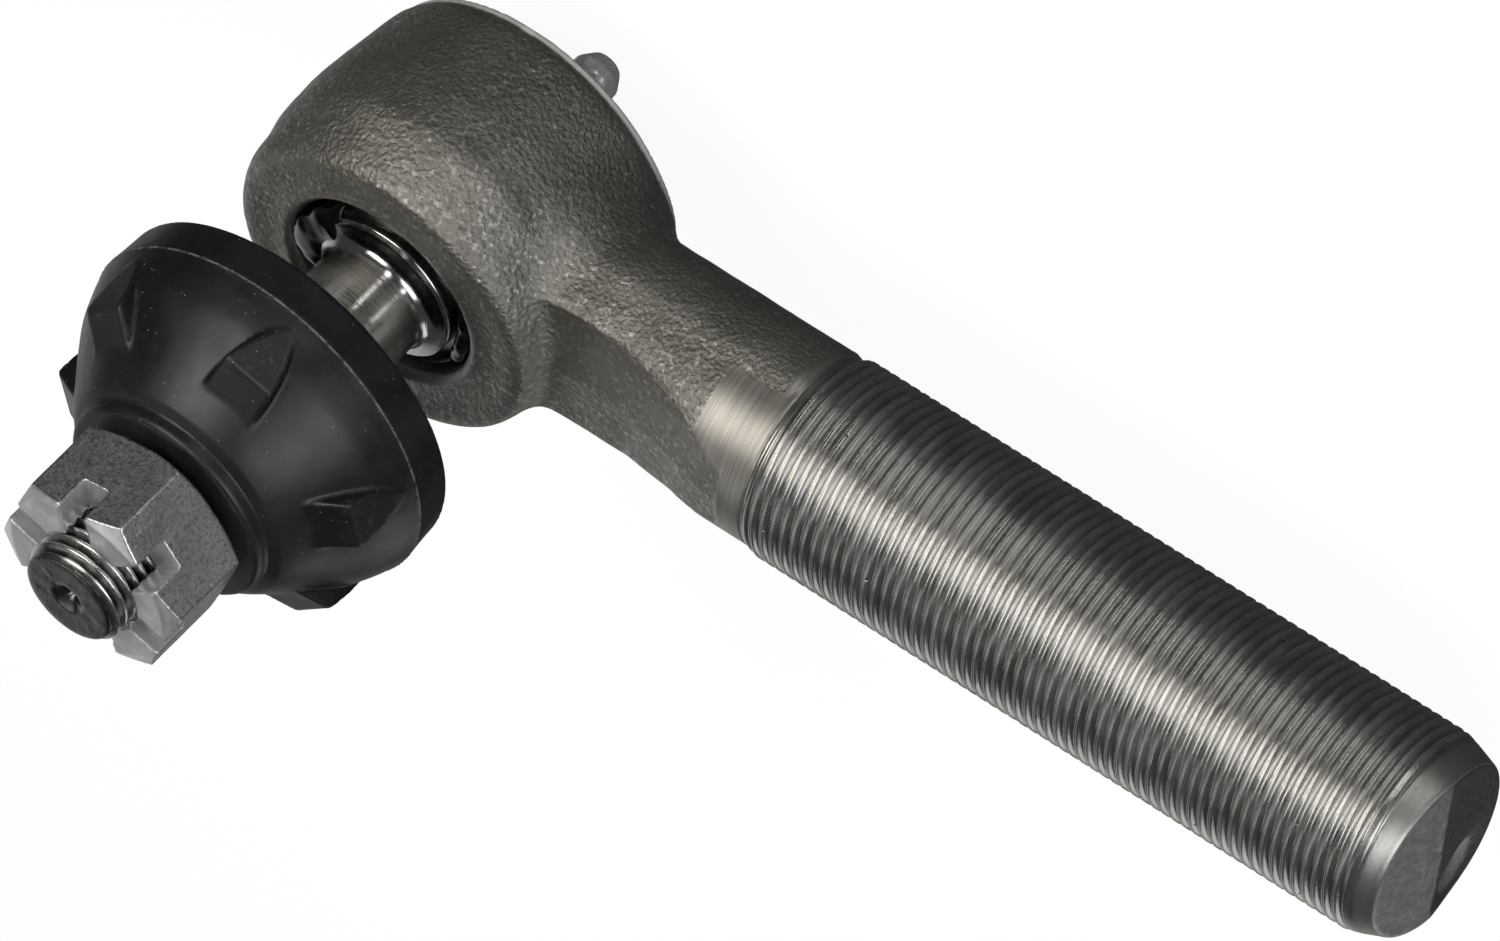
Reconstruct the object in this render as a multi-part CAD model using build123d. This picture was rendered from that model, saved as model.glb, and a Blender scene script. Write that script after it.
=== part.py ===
"""Outer tie rod end, sizes in millimetres.

Origin: centre of the ball. +X: along the shank to its free end. +Z: along the stud to its threaded end.
"""
from build123d import *
from math import cos, radians, sin, sqrt
import os

# Driving dimensions.
SHANK_R = 13.5
SHANK_PITCH = 1.5
SHANK_THREAD_START = 55.7
SHANK_THREAD_END = 144.9
SHANK_END = 148.2
SHOULDER_R = 12.9
SHANK_END_R = 11.85
NECK_REACH = 17.87
NECK_CROWN = 0.07
NECK_FILLET = 1.4
STUD_R = 7.0
STUD_PITCH = 1.5
STUD_END = 70.5
BALL_R = 15.0
JOURNAL_R = 10.2
MOUTH_R = 13.3
FACE_Z = 12.6
BARREL_R = 23.5
BASE_Z = -17.0
BASE_R = 20.4
NUT_FLATS = 23.8
NUT_BACK = 54.3
NUT_FRONT = 67.0
NUT_TURN = 9.6
COVER_RIM_Z = 29.9
COVER_RIM_R = 24.4
COVER_TIP_Z = 52.8

# Fits and thicknesses.
RUN = 0.05
BALL_RUN = 0.08
LINER_T = 1.5
BORE_R = BALL_R + BALL_RUN + LINER_T + 0.02
JOINT_FLOOR_Z = -13.2
SEAL_T = 0.4
PLATE_T = 2.2
PLATE_R = 18.3
LIP_R = 16.9
DOME_R = 9.5
FITTING_TIP = -31.2
FITTING_BORE_R = 1.3
CHECK_BALL_R = 1.15
CHECK_HOLE_R = 0.8


def disc(radius, low, high):
    """Cylinder round Z between two heights."""
    return Pos(0, 0, (low + high) / 2) * Cylinder(radius, high - low)


def turned(*edges):
    """Solid of revolution round Z from the closed outline that these edges make in the XZ plane."""
    return revolve(make_face(Wire(edges)), Axis.Z)


def path(*points):
    """Straight edges joining (radius, height) points."""
    corners = [Vector(r, 0, z) for r, z in points]
    return [Line(a, b) for a, b in zip(corners, corners[1:])]


def bend(start, middle, end):
    """Arc in the XZ plane through three (radius, height) points."""
    return ThreePointArc(*[Vector(r, 0, z) for r, z in (start, middle, end)])


def thread_points(crest_r, root_r, pitch, start, end):
    """Outline of 60 degree thread forms between two stations, as (radius, station) points."""
    flat = pitch / 8
    flank = (crest_r - root_r) / sqrt(3)
    count = int((end - start) / pitch)
    lead = start + (end - start - count * pitch) / 2
    points = [(crest_r, start)]
    for turn in range(count):
        middle = lead + (turn + 0.5) * pitch
        root = (pitch - flat - 2 * flank) / 2
        points.append((crest_r, middle - root - flank))
        points.append((root_r, middle - root))
        points.append((root_r, middle + root))
        points.append((crest_r, middle + root + flank))
    points.append((crest_r, end))
    return points


def shank():
    """Plain shoulder, thread and end chamfer, turned round X."""
    root_r = SHANK_R - 0.613 * SHANK_PITCH
    outline = [(0, 51), (SHOULDER_R, 51), (SHOULDER_R, SHANK_THREAD_START - 0.4)]
    outline += thread_points(SHANK_R, root_r, SHANK_PITCH, SHANK_THREAD_START, SHANK_THREAD_END)
    outline += [(SHANK_END_R, SHANK_END), (0, SHANK_END), (0, 51)]
    return Rot(0, 90, 0) * turned(*path(*outline))


def neck_section(x, side, flat_top, flat_low, top, top_half, bottom, bottom_half):
    """Rounded section of the neck in the plane at x.

    side: half width in Y of the flat flank, which runs from flat_low to flat_top in Z.
    top, bottom: height of the shoulders above and below, at top_half and bottom_half in Y; both faces are crowned.
    """
    crown_top = top + NECK_CROWN * top_half
    crown_low = bottom - NECK_CROWN * bottom_half
    half = [
        (bottom_half * 0.4, crown_low),
        (bottom_half, bottom),
        (side, flat_low),
        (side, flat_top),
        (top_half, top),
        (top_half * 0.4, crown_top),
    ]
    outline = half + [(-y, z) for y, z in reversed(half)]
    plane = Plane(origin=(x, 0, 0), x_dir=(0, 1, 0), z_dir=(1, 0, 0))
    sketch = make_face(Polyline(*outline, close=True))
    return plane * fillet(sketch.vertices(), NECK_FILLET)


def neck():
    """Forged neck between the socket and the shank: waisted on the stud side, with long chamfered corners."""
    sections = [
        neck_section(10, 18.6, 2.4, -5.0, 7.6, 15.0, -13.4, 13.0),
        neck_section(18, 16.4, 2.4, -5.0, 7.2, 14.2, -12.6, 11.2),
        neck_section(26, 14.4, 2.6, -4.8, 6.9, 12.9, -11.7, 9.7),
        neck_section(33, 13.8, 4.0, -4.8, 7.3, 11.0, -11.6, 9.3),
        neck_section(41, 13.5, 5.0, -4.7, 9.1, 9.2, -11.8, 9.0),
        neck_section(47, 13.6, 4.9, -4.5, 10.7, 8.6, -11.9, 8.6),
        neck_section(54, 13.9, 4.2, -4.2, 12.3, 7.8, -12.2, 8.0),
    ]
    body = loft(sections)
    envelope = path((0, 0), (NECK_REACH, 0), (NECK_REACH, 43.8), (14.35, 50.6), (SHOULDER_R, 53.4), (SHOULDER_R, 54),
                    (0, 54), (0, 0))
    cone = Rot(0, 90, 0) * turned(*envelope)
    return body & cone


def barrel():
    """Forged socket body, bulged at the middle, with a rounded front edge and a turned base."""
    side_low = (22.3, -15.2)
    side_high = (22.3, 8.4)
    front = (19.9, 12.35)
    side = [
        bend(side_low, (BARREL_R, -2.6), side_high),
        bend(side_high, (21.8, 11.1), front),
        *path(front, (MOUTH_R + 1.4, FACE_Z), (MOUTH_R, FACE_Z - 1.2), (0, FACE_Z - 1.2), (0, BASE_Z)),
        *path((0, BASE_Z), (BASE_R, BASE_Z), (BASE_R + 0.15, BASE_Z + 0.4)),
        bend((BASE_R + 0.15, BASE_Z + 0.4), (21.9, -16.15), side_low),
    ]
    return turned(*side)


def housing():
    """Forging with the socket machined out and its rim rolled over the cover plate."""
    body = barrel() + neck() + shank()
    floor = JOINT_FLOOR_Z - SEAL_T - PLATE_T
    body -= disc(MOUTH_R, 0, FACE_Z + 1)
    body -= Sphere(BORE_R)
    body -= disc(BORE_R, JOINT_FLOOR_Z - 1, 0)
    body -= disc(PLATE_R + 0.02, floor, JOINT_FLOOR_Z)
    body -= disc(LIP_R, BASE_Z - 1, floor)
    return body


def seat_liner():
    """Seat ring between the forging and the half ball: a spherical zone with a short skirt."""
    inner = BALL_R + BALL_RUN
    body = disc(BORE_R - 0.02, -3, 0) + (Sphere(BORE_R - 0.02) & disc(BORE_R, 0, BORE_R))
    body -= Sphere(inner)
    body -= disc(inner, -4, 0)
    return body - disc(MOUTH_R, 0, BALL_R + 5)


def half_ball():
    """Hemispherical swivel bearing: it swings in the liner and the stud's journal turns in it."""
    body = Sphere(BALL_R) & disc(BALL_R, -0.9, 9.6)
    groove = turned(*path((BALL_R - 0.4, 3.2), (BALL_R + 1, 3.2), (BALL_R + 1, 4.2), (BALL_R - 0.4, 4.2),
                          (BALL_R - 0.4, 3.2)))
    return body - disc(JOURNAL_R + RUN, -2, 12) - groove


def ball_stud():
    """Stud: domed head, ground journal with a grooved collar, neck, 1:8 taper, thread and centre hole."""
    head_low = (DOME_R * sin(radians(58)), -DOME_R * cos(radians(58)))
    head_side = (sqrt(14.6**2 - head_low[1] ** 2), head_low[1])
    head_top = (sqrt(14.6**2 - 1), -1.0)
    neck_r = 7.55
    root_r = STUD_R - 0.613 * STUD_PITCH
    upper = [(STUD_R, 45.2)]
    upper += thread_points(STUD_R, root_r, STUD_PITCH, 46.0, STUD_END - 0.9)
    upper += [(6.1, STUD_END), (0, STUD_END), (0, -DOME_R)]
    edges = [
        bend((0, -DOME_R), (DOME_R * sin(radians(29)), -DOME_R * cos(radians(29))), head_low),
        *path(head_low, head_side),
        bend(head_side, (14.6 * cos(radians(12)), -14.6 * sin(radians(12))), head_top),
        *path(head_top, (JOURNAL_R, -1.0), (JOURNAL_R, 11.85), (JOURNAL_R - 0.2, 11.95)),
        *path((JOURNAL_R - 0.2, 11.95), (JOURNAL_R - 0.2, 12.15), (JOURNAL_R - 0.05, 12.25), (9.5, 12.4)),
        bend((9.5, 12.4), (8.1, 12.95), (neck_r, 14.3)),
        *path((neck_r, 14.3), (neck_r, 19.6), (8.55, 21.2), (7.15, 43.6), (STUD_R, 45.2)),
        *path(*upper),
    ]
    body = turned(*edges)
    centre = turned(*path((0, STUD_END - 3.2), (0.7, STUD_END - 2.6), (2.2, STUD_END), (0, STUD_END),
                          (0, STUD_END - 3.2)))
    return body - centre


def pressure_seat():
    """Dished thrust bearing under the stud's head, with a grease hole."""
    cup = DOME_R + BALL_RUN
    outline = path((6.2, -7.3), (6.5, -7.4), (7.4, -9.6), (16.2, -9.6), (16.2, -11.0), (0, -11.0), (0, -9.2),
                   (6.2, -7.3))
    return turned(*outline) - Sphere(cup) - disc(1.5, -12, -8)


def disc_spring():
    """Coned disc spring that holds the pressure seat up against the stud's head."""
    return turned(*path((8.0, -11.05), (15.6, -12.65), (15.6, -13.55), (8.0, -11.95), (8.0, -11.05)))


def cover_seal():
    """Flat gasket between the cover plate and its step in the forging."""
    return disc(PLATE_R, JOINT_FLOOR_Z - SEAL_T, JOINT_FLOOR_Z) - disc(BORE_R, JOINT_FLOOR_Z - 1, 0)


def cover_plate():
    """Pressed cover with a tapped boss for the grease fitting."""
    top = JOINT_FLOOR_Z - SEAL_T
    body = disc(PLATE_R, top - PLATE_T, top) + Pos(0, 0, -16.6) * Cone(6.2, 7.4, 1.6)
    return body - disc(3.0, -20, -10)


def grease_fitting():
    """Hollow fitting: thread, hexagon, neck and coupling head."""
    outline = path((0, -14.6), (2.6, -14.6), (3.0, -15.0), (3.0, -17.45), (2.9, -22.6), (2.45, -23.4),
                   (2.45, -26.2), (3.28, -27.6), (3.28, -29.2), (2.3, -30.9), (1.9, FITTING_TIP),
                   (0, FITTING_TIP), (0, -14.6))
    hexagon = extrude(Plane.XY.offset(-22.4) * RegularPolygon(4.0, 6, major_radius=False), 4.9)
    bore = disc(FITTING_BORE_R, -30.2, -14)
    return turned(*outline) + hexagon - bore - disc(CHECK_HOLE_R, FITTING_TIP - 1, -30)


def check_ball_z():
    """Height of the check ball's centre when it closes the hole in the fitting's tip."""
    return -30.2 + sqrt(CHECK_BALL_R**2 - CHECK_HOLE_R**2) + 0.04


def fitting_check_ball():
    """Ball that closes the tip of the grease fitting."""
    return Pos(0, 0, check_ball_z()) * Sphere(CHECK_BALL_R)


def fitting_spring():
    """Coil spring behind the check ball."""
    wire = 0.14
    low = check_ball_z() + CHECK_BALL_R + wire
    high = -15.6 - wire
    coil = Helix(pitch=(high - low) / 9, height=high - low, radius=0.95)
    return Pos(0, 0, low) * sweep(Plane(coil @ 0, z_dir=coil % 0) * Circle(wire), coil, is_frenet=True)


def fitting_spring_seat():
    """Washer staked into the inner end of the fitting, which holds the spring in."""
    return disc(FITTING_BORE_R, -15.6, -15.0) - disc(0.5, -16, -14)


def cover_dome(offset):
    """Dome arc of the dust cover, moved inwards by the offset: start, middle and end points."""
    points = ((24.9, 35.5), (21.9, 41.6), (15.4, 50.6))
    return [(r - offset, z - offset * 0.75) for r, z in points]


def dust_cover():
    """Rubber dust cover: straight rim band, dome with six wedge lugs, lip at the small end."""
    outer = cover_dome(0)
    inner = cover_dome(2.0)
    edges = [
        *path((22.0, COVER_RIM_Z), (COVER_RIM_R - 0.5, COVER_RIM_Z), (COVER_RIM_R, COVER_RIM_Z + 0.5)),
        *path((COVER_RIM_R, COVER_RIM_Z + 0.5), (24.6, 35.2), outer[0]),
        bend(*outer),
        *path(outer[2], (14.3, 50.9), (14.3, COVER_TIP_Z - 0.4), (13.9, COVER_TIP_Z)),
        *path((13.9, COVER_TIP_Z), (7.7, COVER_TIP_Z), (7.7, 49.8), (9.6, 49.0), inner[2]),
        bend(inner[2], inner[1], inner[0]),
        *path(inner[0], (22.4, 31.6), (22.0, 31.0), (22.0, COVER_RIM_Z)),
    ]
    body = turned(*edges)
    shell = turned(*path((17.5, 38.0), (24.2, 37.0), (23.0, 45.3), (21.9, 46.2), (17.5, 46.2), (17.5, 38.0)))
    plan = make_face(Wire([
        Line((-4.0, 45.0), (4.0, 45.0)),
        ThreePointArc((4.0, 45.0), (3.0, 40.6), (0.9, 37.6)),
        ThreePointArc((0.9, 37.6), (0, 37.0), (-0.9, 37.6)),
        ThreePointArc((-0.9, 37.6), (-3.0, 40.6), (-4.0, 45.0)),
    ]))
    wedge = extrude(Plane(origin=(17.5, 0, 0), x_dir=(0, 1, 0), z_dir=(1, 0, 0)) * plan, 8) & shell
    for number in range(6):
        body += Rot(0, 0, 13 + 60 * number) * wedge
    return body


def castle_nut():
    """Slotted hexagon nut with a washer face and a turned crown."""
    height = NUT_FRONT - NUT_BACK
    blank = extrude(Plane.XY.offset(NUT_BACK) * RegularPolygon(NUT_FLATS / 2, 6, major_radius=False), height)
    corner = NUT_FLATS / sqrt(3)
    crown = turned(*path((0, NUT_BACK), (12.1, NUT_BACK), (corner + 0.4, NUT_BACK + 1.2),
                         (corner + 0.4, NUT_FRONT - 1.1), (11.4, NUT_FRONT), (0, NUT_FRONT), (0, NUT_BACK)))
    nut = (blank & crown) - disc(STUD_R + RUN, NUT_BACK - 1, NUT_FRONT + 1)
    slot = Pos(0, 0, 62.1 + 5) * Box(40, 3.9, 10)
    for number in range(3):
        nut -= Rot(0, 0, 30 + 60 * number) * slot
    return Rot(0, 0, NUT_TURN) * nut


PARTS = {
    "housing": housing,
    "seat_liner": seat_liner,
    "half_ball": half_ball,
    "ball_stud": ball_stud,
    "pressure_seat": pressure_seat,
    "disc_spring": disc_spring,
    "cover_seal": cover_seal,
    "cover_plate": cover_plate,
    "grease_fitting": grease_fitting,
    "fitting_check_ball": fitting_check_ball,
    "fitting_spring": fitting_spring,
    "fitting_spring_seat": fitting_spring_seat,
    "dust_cover": dust_cover,
    "castle_nut": castle_nut,
}

os.makedirs("parts", exist_ok=True)
for name, build in PARTS.items():
    shape = build()
    solids = shape.solids()
    export_step(Compound(children=solids) if len(solids) > 1 else solids[0], f"parts/{name}.step")
    print(name, len(solids), "solid", round(shape.volume / 1000, 3), "cm3")
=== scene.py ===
"""Looks for the tie rod end. Lengths are millimetres until a mesh is made, and then metres."""
import bpy
import numpy as np
from math import cos, pi, radians, sin, sqrt, tau
from mathutils import Matrix, Vector


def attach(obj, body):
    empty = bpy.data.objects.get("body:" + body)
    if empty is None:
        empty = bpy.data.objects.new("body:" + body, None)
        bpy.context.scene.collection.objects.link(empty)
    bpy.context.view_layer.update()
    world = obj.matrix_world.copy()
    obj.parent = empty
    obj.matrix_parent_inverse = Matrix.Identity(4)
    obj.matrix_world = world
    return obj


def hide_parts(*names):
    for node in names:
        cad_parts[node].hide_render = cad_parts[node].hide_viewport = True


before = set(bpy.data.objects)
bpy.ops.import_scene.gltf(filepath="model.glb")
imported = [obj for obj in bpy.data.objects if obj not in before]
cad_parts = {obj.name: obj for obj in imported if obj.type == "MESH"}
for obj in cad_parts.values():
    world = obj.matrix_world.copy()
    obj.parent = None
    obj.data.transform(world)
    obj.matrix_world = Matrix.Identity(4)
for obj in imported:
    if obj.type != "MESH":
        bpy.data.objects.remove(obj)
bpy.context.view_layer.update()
MM = 0.001

# Shared sizes of the object, in millimetres: radii, pitches, and places along the shank's or the stud's axis.
SHANK_R, SHANK_PITCH, SHANK_START, SHANK_STOP, SHANK_END = 13.5, 1.5, 55.7, 144.9, 148.2
SHOULDER_R, SHANK_END_R, CHAMFER_START = 12.9, 11.85, 142.6
STUD_R, STUD_PITCH, STUD_END = 7.0, 1.5, 70.5
JOURNAL_R, MOUTH_R, FACE_Z, BASE_Z = 10.2, 13.3, 12.6, -17.0
BORE_R, FLOOR_Z, PLATE_R, LIP_R = 16.6, -13.2, 18.32, 16.9
NUT_FLATS, NUT_BACK, NUT_FRONT, NUT_TURN = 23.8, 54.3, 67.0, 9.6
LUG_ANGLES = [13 + 60 * number for number in range(6)]
# Heights on the dust cover, and a lug's half width at each.
LUG_HALF_WIDTHS = [36.6, 37.0, 37.6, 38.6, 40.6, 43.0, 45.2], [-0.7, 0.0, 1.0, 1.75, 2.75, 3.4, 3.75]
COVER_LINE_Z = 35.35
FITTING_TIP, FITTING_HEX_MIDDLE = -31.2, -19.95
# Large odd numbers that turn a lattice corner and a seed into a random-looking whole number.
SCATTER = 73856093, 19349663, 83492791, 2654435761, 1274126177
# How far the rows of a thread's mesh are drawn towards its crest.
CREST_CROWDING = 0.45
# How far each soft box stands from the point that it faces, in metres, and that point.
LIGHT_DISTANCE, LIGHT_AIM = 0.8, Vector((0.04, 0, 0.01))


# ---------------------------------------------------------------- shape tools
def smooth_max(a, b, k):
    """Larger of two fields, rounded over a band of width k where they cross."""
    h = np.clip(0.5 + 0.5 * (a - b) / k, 0, 1)
    return b + (a - b) * h + k * h * (1 - h)


def smooth_min(a, b, k):
    """Smaller of two fields, blended over a band of width k where they cross."""
    return -smooth_max(-a, -b, k)


def ramp(x, start, end):
    """Smooth step from 0 at start to 1 at end."""
    t = np.clip((x - start) / (end - start), 0, 1)
    return t * t * (3 - 2 * t)


def grain(points, size, seed):
    """Smooth random field from -1 to 1, with lumps of about that size."""
    scaled = points / size + seed * 17.31
    cell = np.floor(scaled).astype(np.int64)
    part = scaled - cell
    part = part * part * (3 - 2 * part)
    total = np.zeros(len(points))
    for corner in range(8):
        bits = np.array([corner & 1, corner >> 1 & 1, corner >> 2 & 1])
        key = cell + bits
        mixed = key[:, 0] * SCATTER[0] ^ key[:, 1] * SCATTER[1] ^ key[:, 2] * SCATTER[2] ^ seed * SCATTER[3]
        mixed = (mixed ^ mixed >> 13) * SCATTER[4] & 0x7FFFFFFF
        mixed = (mixed ^ mixed >> 11) & 0xFFFFF
        weight = np.prod(np.where(bits, part, 1 - part), axis=1)
        total += weight * (mixed / 0xFFFFF * 2 - 1)
    return total


def curve_through(points, count=8):
    """Smooth line through the points, as an array."""
    p = np.array([points[0], *points, points[-1]], float)
    out = []
    for a, b, c, d in zip(p, p[1:], p[2:], p[3:]):
        t = np.linspace(0, 1, count, endpoint=False)[:, None]
        square, cube = 2 * a - 5 * b + 4 * c - d, 3 * b - a - 3 * c + d
        out.append(0.5 * (2 * b + (c - a) * t + square * t**2 + cube * t**3))
    return np.vstack([*out, p[-1:]])


def outline_field(outline, step=0.08, margin=4.0):
    """Signed distance from a closed (radius, height) outline, negative inside, looked up from a table."""
    a = np.array(outline, float)
    b = np.roll(a, -1, axis=0)
    low = a.min(0) - margin
    low[0] = min(low[0], 0)
    size = np.ceil((a.max(0) + margin - low) / step).astype(int) + 1
    r, z = np.meshgrid(low[0] + step * np.arange(size[0]), low[1] + step * np.arange(size[1]), indexing="ij")
    best = np.full(r.shape, 1e9)
    inside = np.zeros(r.shape, bool)
    for (ar, az), (br, bz) in zip(a, b):
        er, ez = br - ar, bz - az
        t = np.clip(((r - ar) * er + (z - az) * ez) / max(er * er + ez * ez, 1e-12), 0, 1)
        best = np.minimum(best, np.hypot(r - ar - t * er, z - az - t * ez))
        if ez:
            crosses = (az > z) != (bz > z)
            inside ^= crosses & (r < ar + (z - az) / ez * er)
    table = np.where(inside, -best, best)

    def value(radius, height):
        u = np.clip((radius - low[0]) / step, 0, size[0] - 1.001)
        w = np.clip((height - low[1]) / step, 0, size[1] - 1.001)
        i, j = u.astype(int), w.astype(int)
        u, w = u - i, w - j
        return (
            table[i, j] * (1 - u) * (1 - w)
            + table[i + 1, j] * u * (1 - w)
            + table[i, j + 1] * (1 - u) * w
            + table[i + 1, j + 1] * u * w
        )

    return value


def gradient(field, points, reach=0.02):
    """Gradient of a field at each point."""
    columns = []
    for axis in range(3):
        shift = np.zeros(3)
        shift[axis] = reach
        columns.append((field(points + shift) - field(points - shift)) / (2 * reach))
    return np.stack(columns, 1)


def outward(field, points):
    """Unit normals of the skin."""
    slope = gradient(field, points)
    return slope / np.maximum(np.linalg.norm(slope, axis=1, keepdims=True), 1e-6)


def settle(field, points, passes):
    """Moves points onto the zero level of the field."""
    for _ in range(passes):
        slope = gradient(field, points)
        length = np.maximum((slope**2).sum(1), 0.05)
        move = (field(points) / length)[:, None] * slope
        size = np.linalg.norm(move, axis=1, keepdims=True)
        points = points - move * np.minimum(1, 0.4 / np.maximum(size, 1e-9))
    return points


def net(field, low, high, step):
    """Points and four-sided faces of a closed skin on the zero level of a field."""
    low = np.array(low, float)
    size = np.ceil((np.array(high) - low) / step).astype(int) + 1
    lattice = [low[i] + step * np.arange(size[i]) for i in range(3)]
    grid = np.stack(np.meshgrid(*lattice, indexing="ij"), -1)
    value = np.concatenate([field(slab.reshape(-1, 3)) for slab in grid]).reshape(size)
    inside = value < 0
    cells = size - 1
    total = np.zeros((*cells, 3))
    hits = np.zeros(cells)
    corners = [(i, j, k) for i in (0, 1) for j in (0, 1) for k in (0, 1)]

    def cut(array, corner):
        return array[tuple(slice(c, c + n) for c, n in zip(corner, cells))]

    for axis in range(3):
        for start in corners:
            if start[axis]:
                continue
            end = tuple(1 if i == axis else c for i, c in enumerate(start))
            va, vb = cut(value, start), cut(value, end)
            cross = cut(inside, start) != cut(inside, end)
            t = np.where(cross, va / np.where(cross, va - vb, 1), 0)
            hits += cross
            for i in range(3):
                total[..., i] += cross * (t if i == axis else start[i])
    used = hits > 0
    index = np.full(cells, -1)
    index[used] = np.arange(used.sum())
    base = np.stack(np.nonzero(used), 1)
    points = low + step * (base + total[used] / hits[used][:, None])
    faces = []
    for axis in range(3):
        u, v = (axis + 1) % 3, (axis + 2) % 3
        first = [slice(1, n) for n in cells]
        first[axis] = slice(0, cells[axis])
        after = list(first)
        after[axis] = slice(1, cells[axis] + 1)
        a, b = inside[tuple(first)], inside[tuple(after)]
        where = np.stack(np.nonzero(a != b), 1)
        flip = b[tuple(where.T)]
        where = where + np.array([0 if i == axis else 1 for i in range(3)])
        ring = []
        for du, dv in ((0, 0), (1, 0), (1, 1), (0, 1)):
            place = where.copy()
            place[:, u] -= du
            place[:, v] -= dv
            ring.append(index[tuple(place.T)])
        quad = np.stack(ring, 1)
        quad[flip] = quad[flip][:, ::-1]
        faces.append(quad)
    return points, np.vstack(faces)


def relax(points, faces, share=0.5):
    """Moves each point part of the way to the middle of its neighbours."""
    total = np.zeros_like(points)
    count = np.zeros(len(points))
    for i in range(4):
        a, b = faces[:, i], faces[:, (i + 1) % 4]
        for one, two in ((a, b), (b, a)):
            for axis in range(3):
                total[:, axis] += np.bincount(one, points[two, axis], len(points))
            count += np.bincount(one, minlength=len(points))
    middle = total / np.maximum(count, 1)[:, None]
    return points + share * (middle - points)


def skin(field, low, high, step, rounds=3):
    """Even skin on the zero level of a field."""
    points, faces = net(field, low, high, step)
    for _ in range(rounds):
        points = relax(points, faces)
        points = settle(field, points, 2)
    return points, faces


def mesh_piece(name, points, faces, material, body, stands_for=(), marks=None):
    """Smooth-shaded object from points in millimetres."""
    mesh = bpy.data.meshes.new(name)
    mesh.from_pydata((np.asarray(points) * MM).tolist(), [], [tuple(int(i) for i in f) for f in faces])
    mesh.validate()
    for label, values in (marks or {}).items():
        mesh.attributes.new(label, "FLOAT", "POINT").data.foreach_set("value", np.asarray(values, np.float32))
    mesh.polygons.foreach_set("use_smooth", [True] * len(mesh.polygons))
    mesh.materials.append(material)
    piece = bpy.data.objects.new(name, mesh)
    bpy.context.scene.collection.objects.link(piece)
    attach(piece, body)
    if stands_for:
        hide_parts(*stands_for)
    return piece


def threaded(before, start, stop, pitch, rows, columns, radius_at, after):
    """Bar round Z with a right-handed helical thread between two heights.

    before and after are (radius, height) rings. radius_at gives the radius from the height, the place in
    the pitch and the angle.
    """
    angle = np.arange(columns) * tau / columns
    turns = int(np.ceil((stop - start) / pitch)) + 2
    row = np.arange(-rows, turns * rows)
    even = (row % rows) / rows
    place = even - CREST_CROWDING * np.sin(tau * even) / tau
    height = start + ((row // rows + place)[:, None] + (angle / tau)[None, :]) * pitch
    bare = np.clip(height, start, stop)
    around = np.broadcast_to(angle, height.shape)
    radius = radius_at(bare, np.broadcast_to(place[:, None], height.shape), around)
    rings = np.stack([radius * np.cos(angle), radius * np.sin(angle), bare], -1)
    ids = np.arange(len(row) * columns).reshape(len(row), columns)
    floor_row = [int(np.argmax(height[:, j] >= start)) for j in range(columns)]
    top_row = [int(np.argmax(height[:, j] >= stop)) for j in range(columns)]
    for j in range(columns):
        ids[: floor_row[j], j] = ids[floor_row[j], j]
        ids[top_row[j] :, j] = ids[top_row[j], j]
        rings[floor_row[j], j, 2] = start
        rings[top_row[j], j, 2] = stop
    points = [rings.reshape(-1, 3)]
    faces = []
    for j in range(columns):
        k = (j + 1) % columns
        lift = rows if k == 0 else 0
        for i in range(len(row) - 1):
            if i + 1 + lift >= len(row):
                continue
            corner = [ids[i, j], ids[i + lift, k], ids[i + 1 + lift, k], ids[i + 1, j]]
            kept = list(dict.fromkeys(corner))
            if len(kept) > 2:
                faces.append(tuple(kept))
    used = len(row) * columns

    def add_rings(outline, joined, upward):
        nonlocal used
        previous = joined
        for r, z in outline[:-1]:
            ring = np.stack([r * np.cos(angle), r * np.sin(angle), np.full(columns, z)], -1)
            points.append(ring)
            fresh = list(range(used, used + columns))
            used += columns
            for j in range(columns):
                k = (j + 1) % columns
                quad = (previous[j], previous[k], fresh[k], fresh[j])
                faces.append(quad if upward else quad[::-1])
            previous = fresh
        points.append(np.array([[0, 0, outline[-1][1]]]))
        for j in range(columns):
            k = (j + 1) % columns
            tip = (previous[j], previous[k], used)
            faces.append(tip if upward else tip[::-1])
        used += 1

    add_rings(before[::-1], [ids[floor_row[j], j] for j in range(columns)], False)
    add_rings(after, [ids[top_row[j], j] for j in range(columns)], True)
    points = np.vstack(points)
    keep = np.unique(np.concatenate([np.array(f) for f in faces]))
    renumber = np.full(len(points), -1)
    renumber[keep] = np.arange(len(keep))
    return points[keep], [tuple(renumber[list(f)]) for f in faces]


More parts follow.
